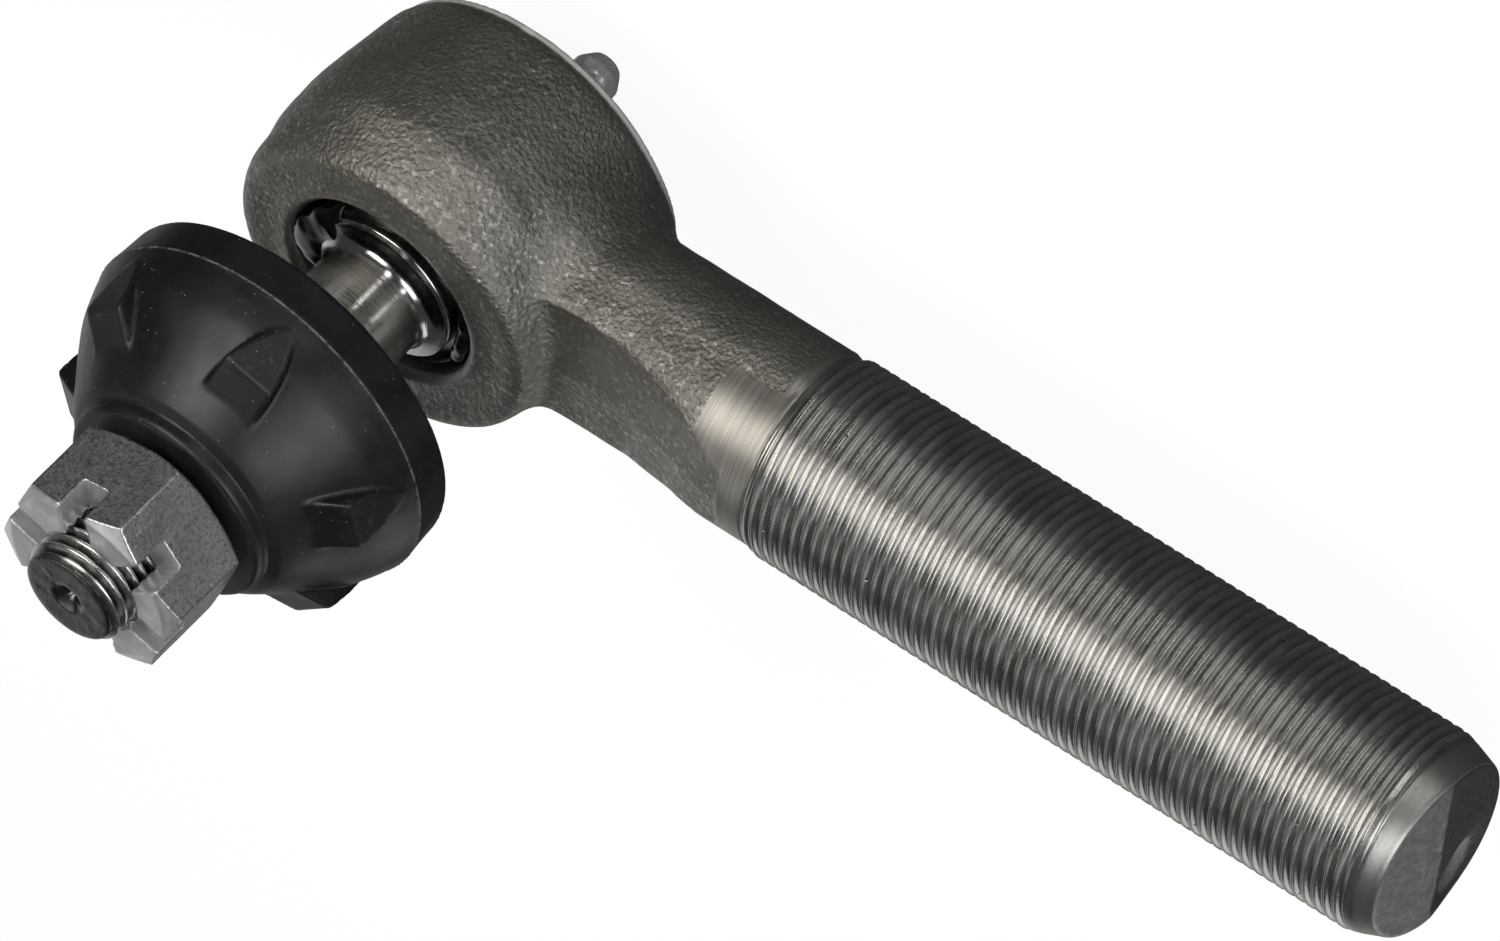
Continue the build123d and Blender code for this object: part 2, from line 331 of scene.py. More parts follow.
# ---------------------------------------------------------------- materials
class Finish:
    """One node material, with a short way to add and join nodes."""

    def __init__(self, name, **base):
        self.mat = bpy.data.materials.new(name)
        self.mat.use_nodes = True
        self.tree = self.mat.node_tree
        self.bsdf = self.tree.nodes["Principled BSDF"]
        self.set(self.bsdf, base)
        self.place = self.tree.nodes.new("ShaderNodeTexCoord").outputs["Object"]

    def set(self, node, values):
        for key, value in values.items():
            socket = node.inputs[key if isinstance(key, int) else key.replace("_", " ")]
            if isinstance(value, bpy.types.NodeSocket):
                self.tree.links.new(value, socket)
            else:
                socket.default_value = value

    def node(self, kind, inputs=None, **settings):
        made = self.tree.nodes.new("ShaderNode" + kind)
        for key, value in settings.items():
            setattr(made, key, value)
        self.set(made, inputs or {})
        return made

    def math(self, operation, a, b=0.0):
        return self.node("Math", {0: a, 1: b}, operation=operation).outputs[0]

    def stretched(self, scale):
        return self.node("Mapping", {"Vector": self.place, "Scale": scale}).outputs[0]

    def noise(self, size, detail=2.0, roughness=0.5, stretch=(1, 1, 1)):
        """Noise with lumps of about size millimetres; a stretch under 1 draws them out along that axis."""
        where = self.stretched(stretch) if tuple(stretch) != (1, 1, 1) else self.place
        values = {"Vector": where, "Scale": 1 / (size * MM), "Detail": detail, "Roughness": roughness}
        return self.node("TexNoise", values).outputs["Fac"]

    def spots(self, size, share):
        """Sparse round spots: 1 inside them. share is about how far each reaches across its cell."""
        cells = self.node("TexVoronoi", {"Vector": self.place, "Scale": 1 / (size * MM)})
        return self.band(cells.outputs["Distance"], share, share * 0.6)

    def band(self, value, low, high, start=0.0, end=1.0):
        ends = {"From Min": low, "From Max": high, "To Min": start, "To Max": end}
        return self.node("MapRange", {"Value": value, **ends}).outputs["Result"]

    def mix(self, fac, a, b):
        return self.node("Mix", {0: fac, 6: a, 7: b}, data_type="RGBA").outputs[2]

    def ramp(self, fac, *stops):
        made = self.node("ValToRGB", {"Fac": fac})
        elements = made.color_ramp.elements
        while len(elements) < len(stops):
            elements.new(0.5)
        for element, (at, colour) in zip(elements, stops):
            element.position = at
            element.color = (*colour, 1)
        return made.outputs["Color"]

    def rough_ramp(self, fac, *stops):
        """Colour ramp between plain roughness values."""
        return self.ramp(fac, *((at, (value,) * 3) for at, value in stops))

    def bump(self, height, depth, strength=1.0, under=None):
        """Relief of depth millimetres from a height of 0 to 1, on top of an earlier relief."""
        values = {"Height": height, "Distance": depth * MM, "Strength": strength}
        if under is not None:
            values["Normal"] = under
        return self.node("Bump", values).outputs["Normal"]

    def mark(self, name):
        return self.node("Attribute", attribute_name=name).outputs["Fac"]

    def axis(self, name):
        return self.node("SeparateXYZ", {"Vector": self.place}).outputs[name]

    def away(self, flat):
        """Distance in millimetres from an axis: flat is (0, 1, 1) for X and (1, 1, 0) for Z."""
        scaled = self.node("Mapping", {"Vector": self.place, "Scale": [f / MM for f in flat]}).outputs[0]
        return self.node("VectorMath", {0: scaled}, operation="LENGTH").outputs["Value"]

    def done(self, colour=None, rough=None, normal=None, metal=None):
        linked = {"Base Color": colour, "Roughness": rough, "Normal": normal, "Metallic": metal}
        self.set(self.bsdf, {key: value for key, value in linked.items() if value is not None})
        return self.mat


def forged_finish():
    """Blasted and oiled forging, with lathe-turned bands where the mark says so, and a base ring coloured
    near white as a painted highlight.
    """
    f = Finish("forged_steel")
    turned = f.mark("turned")
    pebble = f.node("TexVoronoi", {"Vector": f.place, "Scale": 1 / (0.62 * MM)}, feature="SMOOTH_F1")
    grit = f.noise(0.3, 3.0, 0.6)
    patch = f.noise(9.0, 3.0, 0.55)
    fleck = f.noise(0.8, 2.0, 0.6)
    tone = f.ramp(patch, (0.3, (0.25, 0.238, 0.214)), (0.7, (0.35, 0.335, 0.305)))
    tone = f.mix(f.band(fleck, 0.56, 0.75), tone, (0.62, 0.6, 0.565, 1))
    tone = f.mix(f.band(fleck, 0.4, 0.22), tone, (0.18, 0.168, 0.15, 1))
    lines = f.noise(0.22, 2.0, 0.5, (1, 0.02, 0.02))
    bright = f.ramp(lines, (0.3, (0.27, 0.258, 0.236)), (0.7, (0.44, 0.422, 0.39)))
    colour = f.mix(turned, tone, bright)
    rough = f.mix(turned, f.rough_ramp(fleck, (0.35, 0.52), (0.65, 0.36)), (0.42, 0.42, 0.42, 1))
    # The machined base ring is coloured near white and made mostly non-metal: a painted highlight along that
    # edge, on top of its real machined finish.
    ring = f.mark("ring")
    colour = f.mix(ring, colour, (0.85, 0.84, 0.82, 1))
    rough = f.mix(ring, rough, (0.2, 0.2, 0.2, 1))
    pebbles = f.math("MULTIPLY", pebble.outputs["Distance"], 0.8)
    coarse = f.bump(f.noise(2.2, 2.0, 0.5), 0.12, 0.6)
    blasted = f.bump(f.math("ADD", pebbles, f.math("MULTIPLY", grit, 0.6)), 0.24, 0.95, coarse)
    ringed = f.bump(lines, 0.04, 0.6)
    normal = f.node("Mix", {0: turned, 4: blasted, 5: ringed}, data_type="VECTOR").outputs[1]
    return f.done(colour, rough, normal, f.band(ring, 0.0, 1.0, 0.85, 0.15))


def rolled_thread_finish():
    """Rolled thread: bright worn crests, grooves painted darker as shade, small nicks, and a sheared end
    whose two facets are painted light and dark.
    """
    f = Finish("rolled_thread", Metallic=0.95)
    # Painted shade: the colour darkens from the crest down to the groove root.
    depth = f.band(f.away((0, 1, 1)), SHANK_R - 0.8, SHANK_R - 0.3)
    streak = f.noise(1.4, 3.0, 0.6, (0.9, 0.25, 0.25))
    patch = f.noise(14.0, 3.0, 0.5)
    crest = f.ramp(streak, (0.32, (0.44, 0.427, 0.405)), (0.68, (0.64, 0.627, 0.604)))
    crest = f.mix(f.band(patch, 0.5, 0.72, 0.0, 0.35), crest, (0.4, 0.385, 0.36, 1))
    colour = f.mix(depth, (0.24, 0.232, 0.22, 1), crest)
    smooth = f.mark("smooth")
    turned = f.ramp(streak, (0.3, (0.44, 0.425, 0.395)), (0.7, (0.52, 0.505, 0.475)))
    colour = f.mix(smooth, colour, turned)
    nick = f.spots(5.0, 0.05)
    colour = f.mix(f.math("MULTIPLY", nick, 0.6), colour, (0.03, 0.027, 0.024, 1))
    # The mark is 0.5 on the torn facet and in the scoop, and 1 on the lower facet. The torn grain is real;
    # the light tone of the first two and the dark tone of the lower facet are painted light and shade.
    end = f.mark("end")
    torn = f.noise(0.7, 4.0, 0.65)
    cut, dark = f.band(end, 0.0, 0.45), f.band(end, 0.6, 0.95)
    colour = f.mix(cut, colour, f.ramp(torn, (0.3, (0.4, 0.39, 0.38)), (0.7, (0.68, 0.67, 0.65))))
    colour = f.mix(dark, colour, f.ramp(torn, (0.3, (0.13, 0.127, 0.12)), (0.7, (0.27, 0.263, 0.25))))
    rough = f.rough_ramp(streak, (0.35, 0.22), (0.65, 0.34))
    rough = f.mix(smooth, rough, (0.38, 0.38, 0.38, 1))
    rough = f.mix(cut, rough, (0.6, 0.6, 0.6, 1))
    fine = f.noise(0.25, 3.0, 0.6, (1.0, 0.35, 0.35))
    normal = f.bump(fine, 0.035, 0.5, f.bump(nick, -0.12, 0.6))
    return f.done(colour, rough, normal)


def ground_finish():
    """Ground and polished stud, drawn scratches along Z and turned lines round it."""
    f = Finish("ground_steel", Metallic=1.0)
    draw = f.noise(0.6, 3.0, 0.6, (1, 1, 0.06))
    lines = f.noise(0.16, 2.0, 0.6, (0.03, 0.03, 1))
    colour = f.ramp(draw, (0.3, (0.62, 0.61, 0.59)), (0.7, (0.82, 0.81, 0.79)))
    stain = f.noise(3.5, 3.0, 0.6)
    colour = f.mix(f.band(stain, 0.55, 0.75, 0.0, 0.4), colour, (0.3, 0.285, 0.26, 1))
    rough = f.rough_ramp(draw, (0.3, 0.11), (0.7, 0.21))
    normal = f.bump(lines, 0.03, 0.8, f.bump(draw, 0.012, 0.35))
    return f.done(colour, rough, normal)


def stud_thread_finish():
    """The stud's rolled thread and turned end."""
    f = Finish("stud_thread", Metallic=1.0)
    # Painted shade: the colour darkens from the crest down to the groove root.
    depth = f.band(f.away((1, 1, 0)), STUD_R - 0.8, STUD_R - 0.1)
    streak = f.noise(0.9, 3.0, 0.6, (0.4, 0.4, 1))
    crest = f.ramp(streak, (0.3, (0.6, 0.59, 0.58)), (0.7, (0.85, 0.85, 0.84)))
    colour = f.mix(depth, (0.16, 0.155, 0.15, 1), crest)
    end = f.band(f.axis("Z"), (STUD_END - 0.25) * MM, (STUD_END - 0.05) * MM)
    rings = f.noise(0.5, 4.0, 0.7, (1, 0.22, 1))
    colour = f.mix(end, colour, f.ramp(rings, (0.3, (0.08, 0.077, 0.072)), (0.7, (0.26, 0.255, 0.245))))
    rough = f.rough_ramp(streak, (0.35, 0.2), (0.65, 0.34))
    normal = f.bump(rings, 0.02, 0.4, f.bump(f.noise(0.2, 3.0, 0.6), 0.02, 0.4))
    return f.done(colour, rough, normal)


def zinc_finish(name, speckle, base, dark, relief, metallic=1.0):
    """Zinc plate: fine crystalline speckle of the given size over soft cloudy patches."""
    f = Finish(name, Metallic=metallic)
    speck = f.noise(speckle, 3.0, 0.7)
    cloud = f.noise(4.0, 3.0, 0.5)
    faced = f.mark("faced")
    tone = f.ramp(speck, (0.36, dark), (0.52, base), (0.64, tuple(min(1, c * 1.55) for c in base)))
    tone = f.mix(f.band(cloud, 0.4, 0.7, 0.0, 0.3), tone, (*dark, 1))
    drag = f.noise(0.5, 3.0, 0.6, (0.15, 0.15, 1))
    bright = f.ramp(drag, (0.3, (0.55, 0.56, 0.57)), (0.7, (0.85, 0.86, 0.87)))
    colour = f.mix(faced, tone, bright)
    rough = f.mix(faced, f.rough_ramp(speck, (0.35, 0.42), (0.65, 0.26)), (0.25, 0.25, 0.25, 1))
    normal = f.bump(speck, relief, 0.6)
    return f.done(colour, rough, normal, f.band(faced, 0.0, 1.0, metallic, metallic * 0.55))


def rubber_finish():
    """Moulded dust cover rubber: satin, with fine grain, dust specks and a scuffed parting line."""
    f = Finish("cover_rubber", Specular_IOR_Level=0.5)
    cloud = f.noise(6.0, 4.0, 0.6)
    base = f.ramp(cloud, (0.3, (0.009, 0.0094, 0.0115)), (0.7, (0.017, 0.0176, 0.021)))
    dust = f.math("MULTIPLY", f.spots(1.1, 0.1), f.band(f.noise(2.5, 2.0, 0.5), 0.5, 0.56))
    off_line = f.math("ABSOLUTE", f.math("SUBTRACT", f.axis("Z"), COVER_LINE_Z * MM))
    line = f.math("MULTIPLY", f.band(off_line, 0.17 * MM, 0.07 * MM), f.band(f.away((1, 1, 0)), 24.2, 24.4))
    worn = f.band(f.noise(1.3, 4.0, 0.75), 0.4, 0.58, 0.12, 1.0)
    rubbed = f.math("MULTIPLY", f.band(f.noise(1.1, 4.0, 0.7), 0.6, 0.72), f.mark("edge"))
    scuff = f.math("MAXIMUM", f.math("MULTIPLY", line, worn), f.math("MULTIPLY", rubbed, 0.7))
    colour = f.mix(f.math("MULTIPLY", dust, 0.9), base, (0.3, 0.3, 0.3, 1))
    colour = f.mix(f.math("MULTIPLY", scuff, 0.8), colour, (0.3, 0.3, 0.3, 1))
    rough = f.rough_ramp(cloud, (0.35, 0.34), (0.65, 0.44))
    normal = f.bump(f.noise(0.35, 4.0, 0.65), 0.03, 0.35, f.bump(f.noise(3.0, 3.0, 0.5), 0.08, 0.3))
    return f.done(colour, rough, normal)


def grease_finish():
    """Dark assembly grease: wet, nearly black, a little see-into."""
    f = Finish("grease", IOR=1.48, Coat_Weight=0.25, Coat_Roughness=0.03)
    cloud = f.noise(1.2, 3.0, 0.6)
    colour = f.ramp(cloud, (0.35, (0.003, 0.003, 0.0035)), (0.65, (0.012, 0.012, 0.011)))
    rough = f.rough_ramp(cloud, (0.4, 0.05), (0.6, 0.16))
    return f.done(colour, rough, f.bump(f.noise(0.9, 2.0, 0.5), 0.012, 0.4))


def inner_finish(name, dark, light, grit, rough_low, rough_high, stretch=(1, 1, 1), **base):
    """Plain machined, moulded or sprung part: fine grain between two tones."""
    f = Finish(name, **base)
    fine = f.noise(grit, 3.0, 0.6, stretch)
    cloud = f.noise(grit * 14, 3.0, 0.5)
    colour = f.mix(f.band(cloud, 0.35, 0.7, 0.0, 0.5), f.ramp(fine, (0.3, dark), (0.7, light)), (*dark, 1))
    rough = f.rough_ramp(fine, (0.3, rough_low), (0.7, rough_high))
    return f.done(colour, rough, f.bump(fine, 0.02, 0.4))


# ---------------------------------------------------------------- pieces
# Outside of the barrel as (radius, height): machined ring, widest belt, rounded front edge.
BARREL_LINE = [(21.1, -17.0), (21.35, -16.85), (21.42, -16.3), (21.3, -16.05), (21.8, -15.4), (22.3, -13.6),
               (22.95, -7.6), (23.4, -2.5), (23.35, 1.5), (23.1, 4.6), (22.55, 7.0), (22.3, 9.3),
               (22.0, 10.6), (21.3, 11.9), (20.2, 12.45)]
# The same front edge where the forging die left it rounder.
SOFT_EDGE = [(23.45, 1.5), (23.4, 3.6), (23.05, 5.0), (22.1, 7.2), (21.15, 9.2), (20.3, 10.8), (19.5, 11.8),
             (18.5, 12.2)]
NECK_STATIONS = np.array([8, 18, 26, 33, 41, 47, 54, 60.0])
NECK_SHAPE = np.array([  # side, flat top, flat low, top, top half, bottom, bottom half
    (18.8, 2.4, -5.0, 7.6, 15.2, -13.6, 13.2),
    (16.4, 2.4, -5.0, 7.2, 14.2, -12.6, 11.2),
    (14.4, 2.6, -4.8, 6.9, 12.9, -11.7, 9.7),
    (13.8, 4.0, -4.8, 7.3, 11.0, -11.6, 9.3),
    (13.5, 5.0, -4.7, 9.1, 9.2, -11.8, 9.0),
    (13.6, 4.9, -4.5, 10.7, 8.6, -11.9, 8.6),
    (13.9, 4.2, -4.2, 12.3, 7.8, -12.2, 8.0),
    (14.2, 4.0, -4.0, 13.3, 7.4, -12.6, 7.8),
])


def neck_field(p):
    """Eight-sided forged neck with rounded edges."""
    x, y, z = p[:, 0], np.abs(p[:, 1]), p[:, 2]
    side, flat_top, flat_low, top, top_half, bottom, bottom_half = (
        np.interp(x, NECK_STATIONS, NECK_SHAPE[:, i]) for i in range(7)
    )

    def facet(y0, z0, y1, z1):
        run, rise = y1 - y0, z1 - z0
        length = np.sqrt(run**2 + rise**2)
        return ((y - y0) * rise - (z - z0) * run) / length

    upper = facet(side, flat_top, top_half, top)
    lower = facet(bottom_half, bottom, side, flat_low)
    crown_top = facet(top_half, top, 0 * x, top + 0.11 * top_half)
    crown_low = facet(0 * x, bottom - 0.09 * bottom_half, bottom_half, bottom)
    shape = smooth_max(y - side, upper, 1.6)
    shape = smooth_max(shape, crown_top, 1.3)
    shape = smooth_max(shape, lower, 2.2)
    return smooth_max(shape, crown_low, 2.0)


def envelope_field(p):
    """Cone turned on the neck's end, running into the shoulder."""
    across = np.hypot(p[:, 1], p[:, 2])
    cone = (across - (14.35 + 0.518 * (50.6 - p[:, 0]))) * 0.888
    return np.maximum(cone, across - SHOULDER_R)


def forging():
    """Socket, neck and shoulder in one skin, with blasted waviness."""
    side = curve_through(BARREL_LINE)
    face = [(19.2, 12.42), (17.2, 12.15), (15.4, 12.3), (14.9, FACE_Z), (14.3, FACE_Z), (13.6, 12.1),
            (0, 12.1), (0, BASE_Z)]
    barrel_at = outline_field([*side.tolist(), *face])
    soft_side = curve_through([*BARREL_LINE[:8], *SOFT_EDGE])
    soft_at = outline_field([*soft_side.tolist(), *face[1:]])
    bore = [(0, 13.5), (14.2, 13.5), (14.2, 12.7), (13.7, 12.3), (MOUTH_R, 11.6)]
    lip = sqrt(BORE_R**2 - MOUTH_R**2)
    arc = np.linspace(np.arctan2(lip, MOUTH_R), 0, 14)
    bore += [(BORE_R * cos(a), BORE_R * sin(a)) for a in arc]
    bore += [(BORE_R, FLOOR_Z), (PLATE_R, FLOOR_Z), (PLATE_R, FLOOR_Z - 2.65), (LIP_R, FLOOR_Z - 2.65)]
    bore += [(LIP_R, -18.5), (0, -18.5)]
    bore_at = outline_field(bore)

    def shape(p):
        r = np.hypot(p[:, 0], p[:, 1])
        around = np.degrees(np.arctan2(p[:, 1], p[:, 0]))
        share = ramp(around, 15, 60) * ramp(-around, -165, -115)
        barrel = barrel_at(r, p[:, 2]) * (1 - share) + soft_at(r, p[:, 2]) * share
        neck = smooth_max(neck_field(p), envelope_field(p), 0.12)
        neck = np.maximum(neck, 4 - p[:, 0])
        blend = 2.6 + 5.0 * ramp(-p[:, 2], -6.5, 0.5) * ramp(p[:, 0], 6, 14)
        solid = smooth_min(barrel, neck, blend)
        shoulder = np.maximum(np.hypot(p[:, 1], p[:, 2]) - SHOULDER_R, 50.8 - p[:, 0])
        solid = np.minimum(solid, shoulder)
        solid = np.maximum(solid, p[:, 0] - 55.0)
        solid = smooth_max(solid, BASE_Z - p[:, 2], 0.3)
        return smooth_max(solid, -bore_at(r, p[:, 2]), 0.25)

    step = 0.46
    points, faces = skin(shape, (-24.6, -24.6, -18.2), (56.2, 24.6, 14.2), step)
    r = np.hypot(points[:, 0], points[:, 1])
    # Machined: the neck's cone, the shoulder, the base ring, and the mouth and bore of the socket.
    cone = np.abs(envelope_field(points))
    turned = ramp(-cone, -0.16, -0.04) * (points[:, 0] > 46)
    turned = np.maximum(turned, points[:, 0] > 53.2)
    turned = np.maximum(turned, ramp(-points[:, 2], 15.75, 15.95))
    # Mark for the machined base ring, which the finish colours near white as a painted highlight.
    ring = ramp(-points[:, 2], 15.95, 16.1)
    inside = ramp(-bore_at(r, points[:, 2]), -0.5, -0.1) * ramp(-r, -15.6, -14.6) * (points[:, 0] < 20)
    turned = np.maximum(turned, inside)
    deep = (r < 16.9) * (points[:, 2] < 11) * (points[:, 0] < 20)
    turned = np.maximum(turned, deep)
    rough = (1 - turned)[:, None]
    slope = outward(shape, points)
    wave = 0.05 * grain(points, 5.5, 1) + 0.035 * grain(points, 2.4, 2) + 0.03 * grain(points, 1.25, 3)
    points = points + slope * rough * (wave - 0.03)[:, None]
    return mesh_piece("socket_forging", points, faces, forged_finish(), "socket",
                      ("housing",), {"turned": turned, "ring": ring})


def shank():
    """Rolled helical thread from the shoulder to the chamfered, sheared end."""
    depth = 0.62

    def cone_at(x):
        return SHANK_R - (x - CHAMFER_START) * (SHANK_R - SHANK_END_R) / (SHANK_END - CHAMFER_START)

    def radius_at(height, place, angle):
        form = (0.5 - 0.5 * np.cos(tau * place)) ** 1.5
        seam = np.exp(-((SHANK_PITCH * np.minimum(place, 1 - place) / 0.085) ** 2))
        grow = ramp(height, SHANK_START - 0.5, SHANK_START + 0.5)
        crest = SHOULDER_R + (SHANK_R - SHOULDER_R) * grow
        flat = np.stack([height, SHANK_R * np.cos(angle), SHANK_R * np.sin(angle)], -1).reshape(-1, 3)
        bruise = np.maximum(grain(flat, 0.9, 9) - 0.55, 0).reshape(height.shape) * 0.2
        wander = grain(flat, 6.0, 11).reshape(height.shape) * 0.02
        wear = bruise + wander + 0.02 + 0.07 * seam
        rolled = crest - depth * grow * form - wear * grow * (1 - form)
        return np.minimum(rolled, cone_at(height))

    rows, columns = ((13, 116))
    before = [(0, 51.5), (12.6, 51.5), (12.7, 54.6), (SHOULDER_R - 0.02, 54.95)]
    end = [(cone_at(x), x) for x in (145.3, 145.8, 146.3, 146.8, 147.3, 147.7)]
    end += [(SHANK_END_R + 0.02, SHANK_END - 0.25), (SHANK_END_R - 0.15, SHANK_END - 0.04)]
    end += [(SHANK_END_R - 0.5, SHANK_END), *((0.6 * ring, SHANK_END) for ring in range(18, -1, -1))]
    points, faces = threaded(before, 55.0, SHANK_STOP, SHANK_PITCH, rows, columns, radius_at, end)
    x, r = points[:, 2], np.hypot(points[:, 0], points[:, 1])
    lain = np.stack([x, points[:, 0], points[:, 1]], -1)
    face = ramp(x, SHANK_END - 0.3, SHANK_END - 0.02)
    # The bar was sheared off: two facets meet at split, the upper one is torn, and the lower has a scoop.
    split = lain[:, 2] + 0.12 * lain[:, 1]
    shear = -0.09 * np.maximum(split, 0) + 0.03 * np.minimum(split, 0)
    side, rise = lain[:, 1] + 7.3, lain[:, 2] + 3.9
    along, across = 0.64 * side - 0.77 * rise, 0.77 * side + 0.64 * rise
    scoop = np.exp(-((along / 4.0) ** 2) - (across / 2.4) ** 2) * ramp(x, SHANK_END - 3.0, SHANK_END)
    torn = (0.12 * grain(lain, 1.8, 5) + 0.07 * grain(lain, 0.8, 6)) * face
    torn *= ramp(-r, -11.2, -10.2) * ramp(split, -0.6, 0.6)
    shear *= ramp(x, SHANK_END - 4.0, SHANK_END)
    lain[:, 0] += shear + np.minimum(torn - 0.08 * face, 0) - 1.7 * scoop
    # Mark: 1 on the lower facet, which the finish paints dark as shade, and 0.5 on the torn facet and the
    # scoop, which it paints lighter.
    face *= (0.5 + 0.5 * ramp(-split, -0.3, 0.1)) * (1 - 0.5 * ramp(scoop, 0.3, 0.6))
    smooth = ramp(x, SHANK_STOP - 0.6, SHANK_STOP + 0.2) - ramp(x, SHANK_END - 0.3, SHANK_END - 0.02)
    return mesh_piece("shank_thread", lain, faces, rolled_thread_finish(), "socket",
                      ("housing",), {"end": face, "smooth": smooth})


def six_sides(x, y):
    """Distance along each of the six directions square to a hexagon's sides."""
    return [x * cos(radians(30 + 60 * n)) + y * sin(radians(30 + 60 * n)) for n in range(6)]


def arc_points(centre, radius, start, stop, count):
    """Points on an arc round a (radius, height) centre, angles in degrees."""
    angles = np.radians(np.linspace(start, stop, count))
    return [(centre[0] + radius * cos(a), centre[1] + radius * sin(a)) for a in angles]


def stud():
    """Stud from its seated head to the centre-drilled end."""
    root = 0.9

    def radius_at(height, place, angle):
        form = (0.5 - 0.5 * np.cos(tau * place)) ** 1.4
        grow = ramp(height, 46.0, 47.2)
        crest = np.minimum(STUD_R, STUD_R - (height - (STUD_END - 1.1)) * 1.1)
        fade = grow * ramp(-height, -STUD_END + 0.3, -STUD_END + 1.1)
        return crest - root * fade * form

    before = [(0, -9.5), *arc_points((0, 0), 9.5, -86, -32, 12)]
    before += [(13.7, -5.0), *arc_points((0, 0), 14.6, -19.5, -4.2, 6), (14.4, -0.98)]
    before += [(JOURNAL_R + 0.1, -0.98), (JOURNAL_R, -0.8)]
    before += [(JOURNAL_R, z) for z in (2, 5, 8, 9.6, 10.6, 11.3, 11.62)]
    before += [(10.14, 11.76), (9.96, 11.86), (9.92, 12.0), (9.98, 12.12), (10.1, 12.22), (10.08, 12.32)]
    before += [(9.9, 12.42), (9.5, 12.5), (9.0, 12.62), (8.5, 12.82), (8.1, 13.1), (7.8, 13.5), (7.62, 14.0)]
    before += [(7.55, z) for z in (14.6, 16.5, 19.4, 22.4)] + [(7.62, 22.7), (8.28, 23.7), (8.36, 24.1)]
    before += [(8.2, 26.9), (7.85, 32.5), (7.5, 38.1), (7.16, 43.4), (7.1, 43.9), (STUD_R, 44.8)]
    end = [(6.3, STUD_END - 0.22), (6.12, STUD_END - 0.06), (5.9, STUD_END)]
    end += [(r, STUD_END) for r in (5.2, 4.4, 3.6, 2.8, 2.35)]
    end += [(2.0, STUD_END - 0.12), (1.3, STUD_END - 0.6)]
    end += [(0.6, STUD_END - 1.1), (0.45, STUD_END - 1.6), (0, STUD_END - 1.7)]
    rows, columns = ((10, 120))
    points, faces = threaded(before, 45.5, STUD_END - 0.45, STUD_PITCH, rows, columns, radius_at, end)
    radius = np.hypot(points[:, 0], points[:, 1])
    lumps = 0.05 * grain(points, 1.3, 21) + 0.04 * grain(points, 0.7, 22)
    points[:, 2] += lumps * (points[:, 2] > STUD_END - 0.5) * ramp(-radius, -5.6, -5.0)
    piece = mesh_piece("ball_stud_ground", points, faces, ground_finish(), "stud",
                       ("ball_stud",))
    mesh = piece.data
    mesh.materials.append(stud_thread_finish())
    middle = np.zeros(len(mesh.polygons) * 3, np.float32)
    mesh.polygons.foreach_get("center", middle)
    mesh.polygons.foreach_set("material_index", (middle[2::3] > 0.0448).astype(np.int32))
    mesh.set_sharp_from_angle(angle=radians(40))
    return piece


def nut():
    """Slotted hexagon nut: matt speckled flats, machined crown and slots, threaded bore."""
    turn = radians(NUT_TURN)
    corner = NUT_FLATS / sqrt(3)
    slot_half_width, slot_floor = 1.95, 62.1
    bore_r, bore_thread = 7.06, 0.5
    crown_at = outline_field([(0, NUT_BACK), (12.0, NUT_BACK), (corner + 0.5, NUT_BACK + 1.15),
                              (corner + 0.5, NUT_FRONT - 1.25), (11.5, NUT_FRONT), (0, NUT_FRONT)])

    def spun(p):
        x = p[:, 0] * cos(turn) + p[:, 1] * sin(turn)
        y = p[:, 1] * cos(turn) - p[:, 0] * sin(turn)
        return x, y

    def slots(x, y, z):
        best = np.full(len(x), 1e9)
        for number in range(3):
            a = radians(30 + 60 * number)
            across = np.abs(y * cos(a) - x * sin(a)) - slot_half_width
            best = np.minimum(best, across)
        return smooth_max(best, slot_floor - z, 0.25)

    def hexagon(x, y):
        shape, *others = six_sides(x, y)
        for side in others:
            shape = smooth_max(shape, side, 0.1)
        return shape - NUT_FLATS / 2

    def shape(p):
        x, y = spun(p)
        z = p[:, 2]
        r = np.hypot(x, y)
        solid = smooth_max(hexagon(x, y), crown_at(r, z), 0.08)
        place = (z - NUT_BACK) / STUD_PITCH - np.arctan2(y, x) / tau
        bore = r - bore_r - bore_thread * (0.5 - 0.5 * np.cos(tau * place))
        solid = smooth_max(solid, -bore, 0.06)
        return smooth_max(solid, -slots(x, y, z), 0.08)

    step = 0.24
    points, faces = skin(shape, (-14.4, -14.4, 53.6), (14.4, 14.4, 67.8), step, 2)
    x, y = spun(points)
    flats = hexagon(x, y)
    slope = outward(shape, points)
    on_flat = ramp(flats, -0.14, -0.05)
    hit = (0.012 * grain(points, 0.55, 31) + 0.018 * grain(points, 2.2, 32)) * on_flat
    points = points + slope * (hit - 0.01)[:, None]
    faced = 1 - on_flat
    return mesh_piece("castle_nut_body", points, faces,
                      zinc_finish("nut_zinc", 0.46, (0.8, 0.81, 0.815), (0.32, 0.325, 0.325), 0.06),
                      "nut", ("castle_nut",), {"faced": faced})


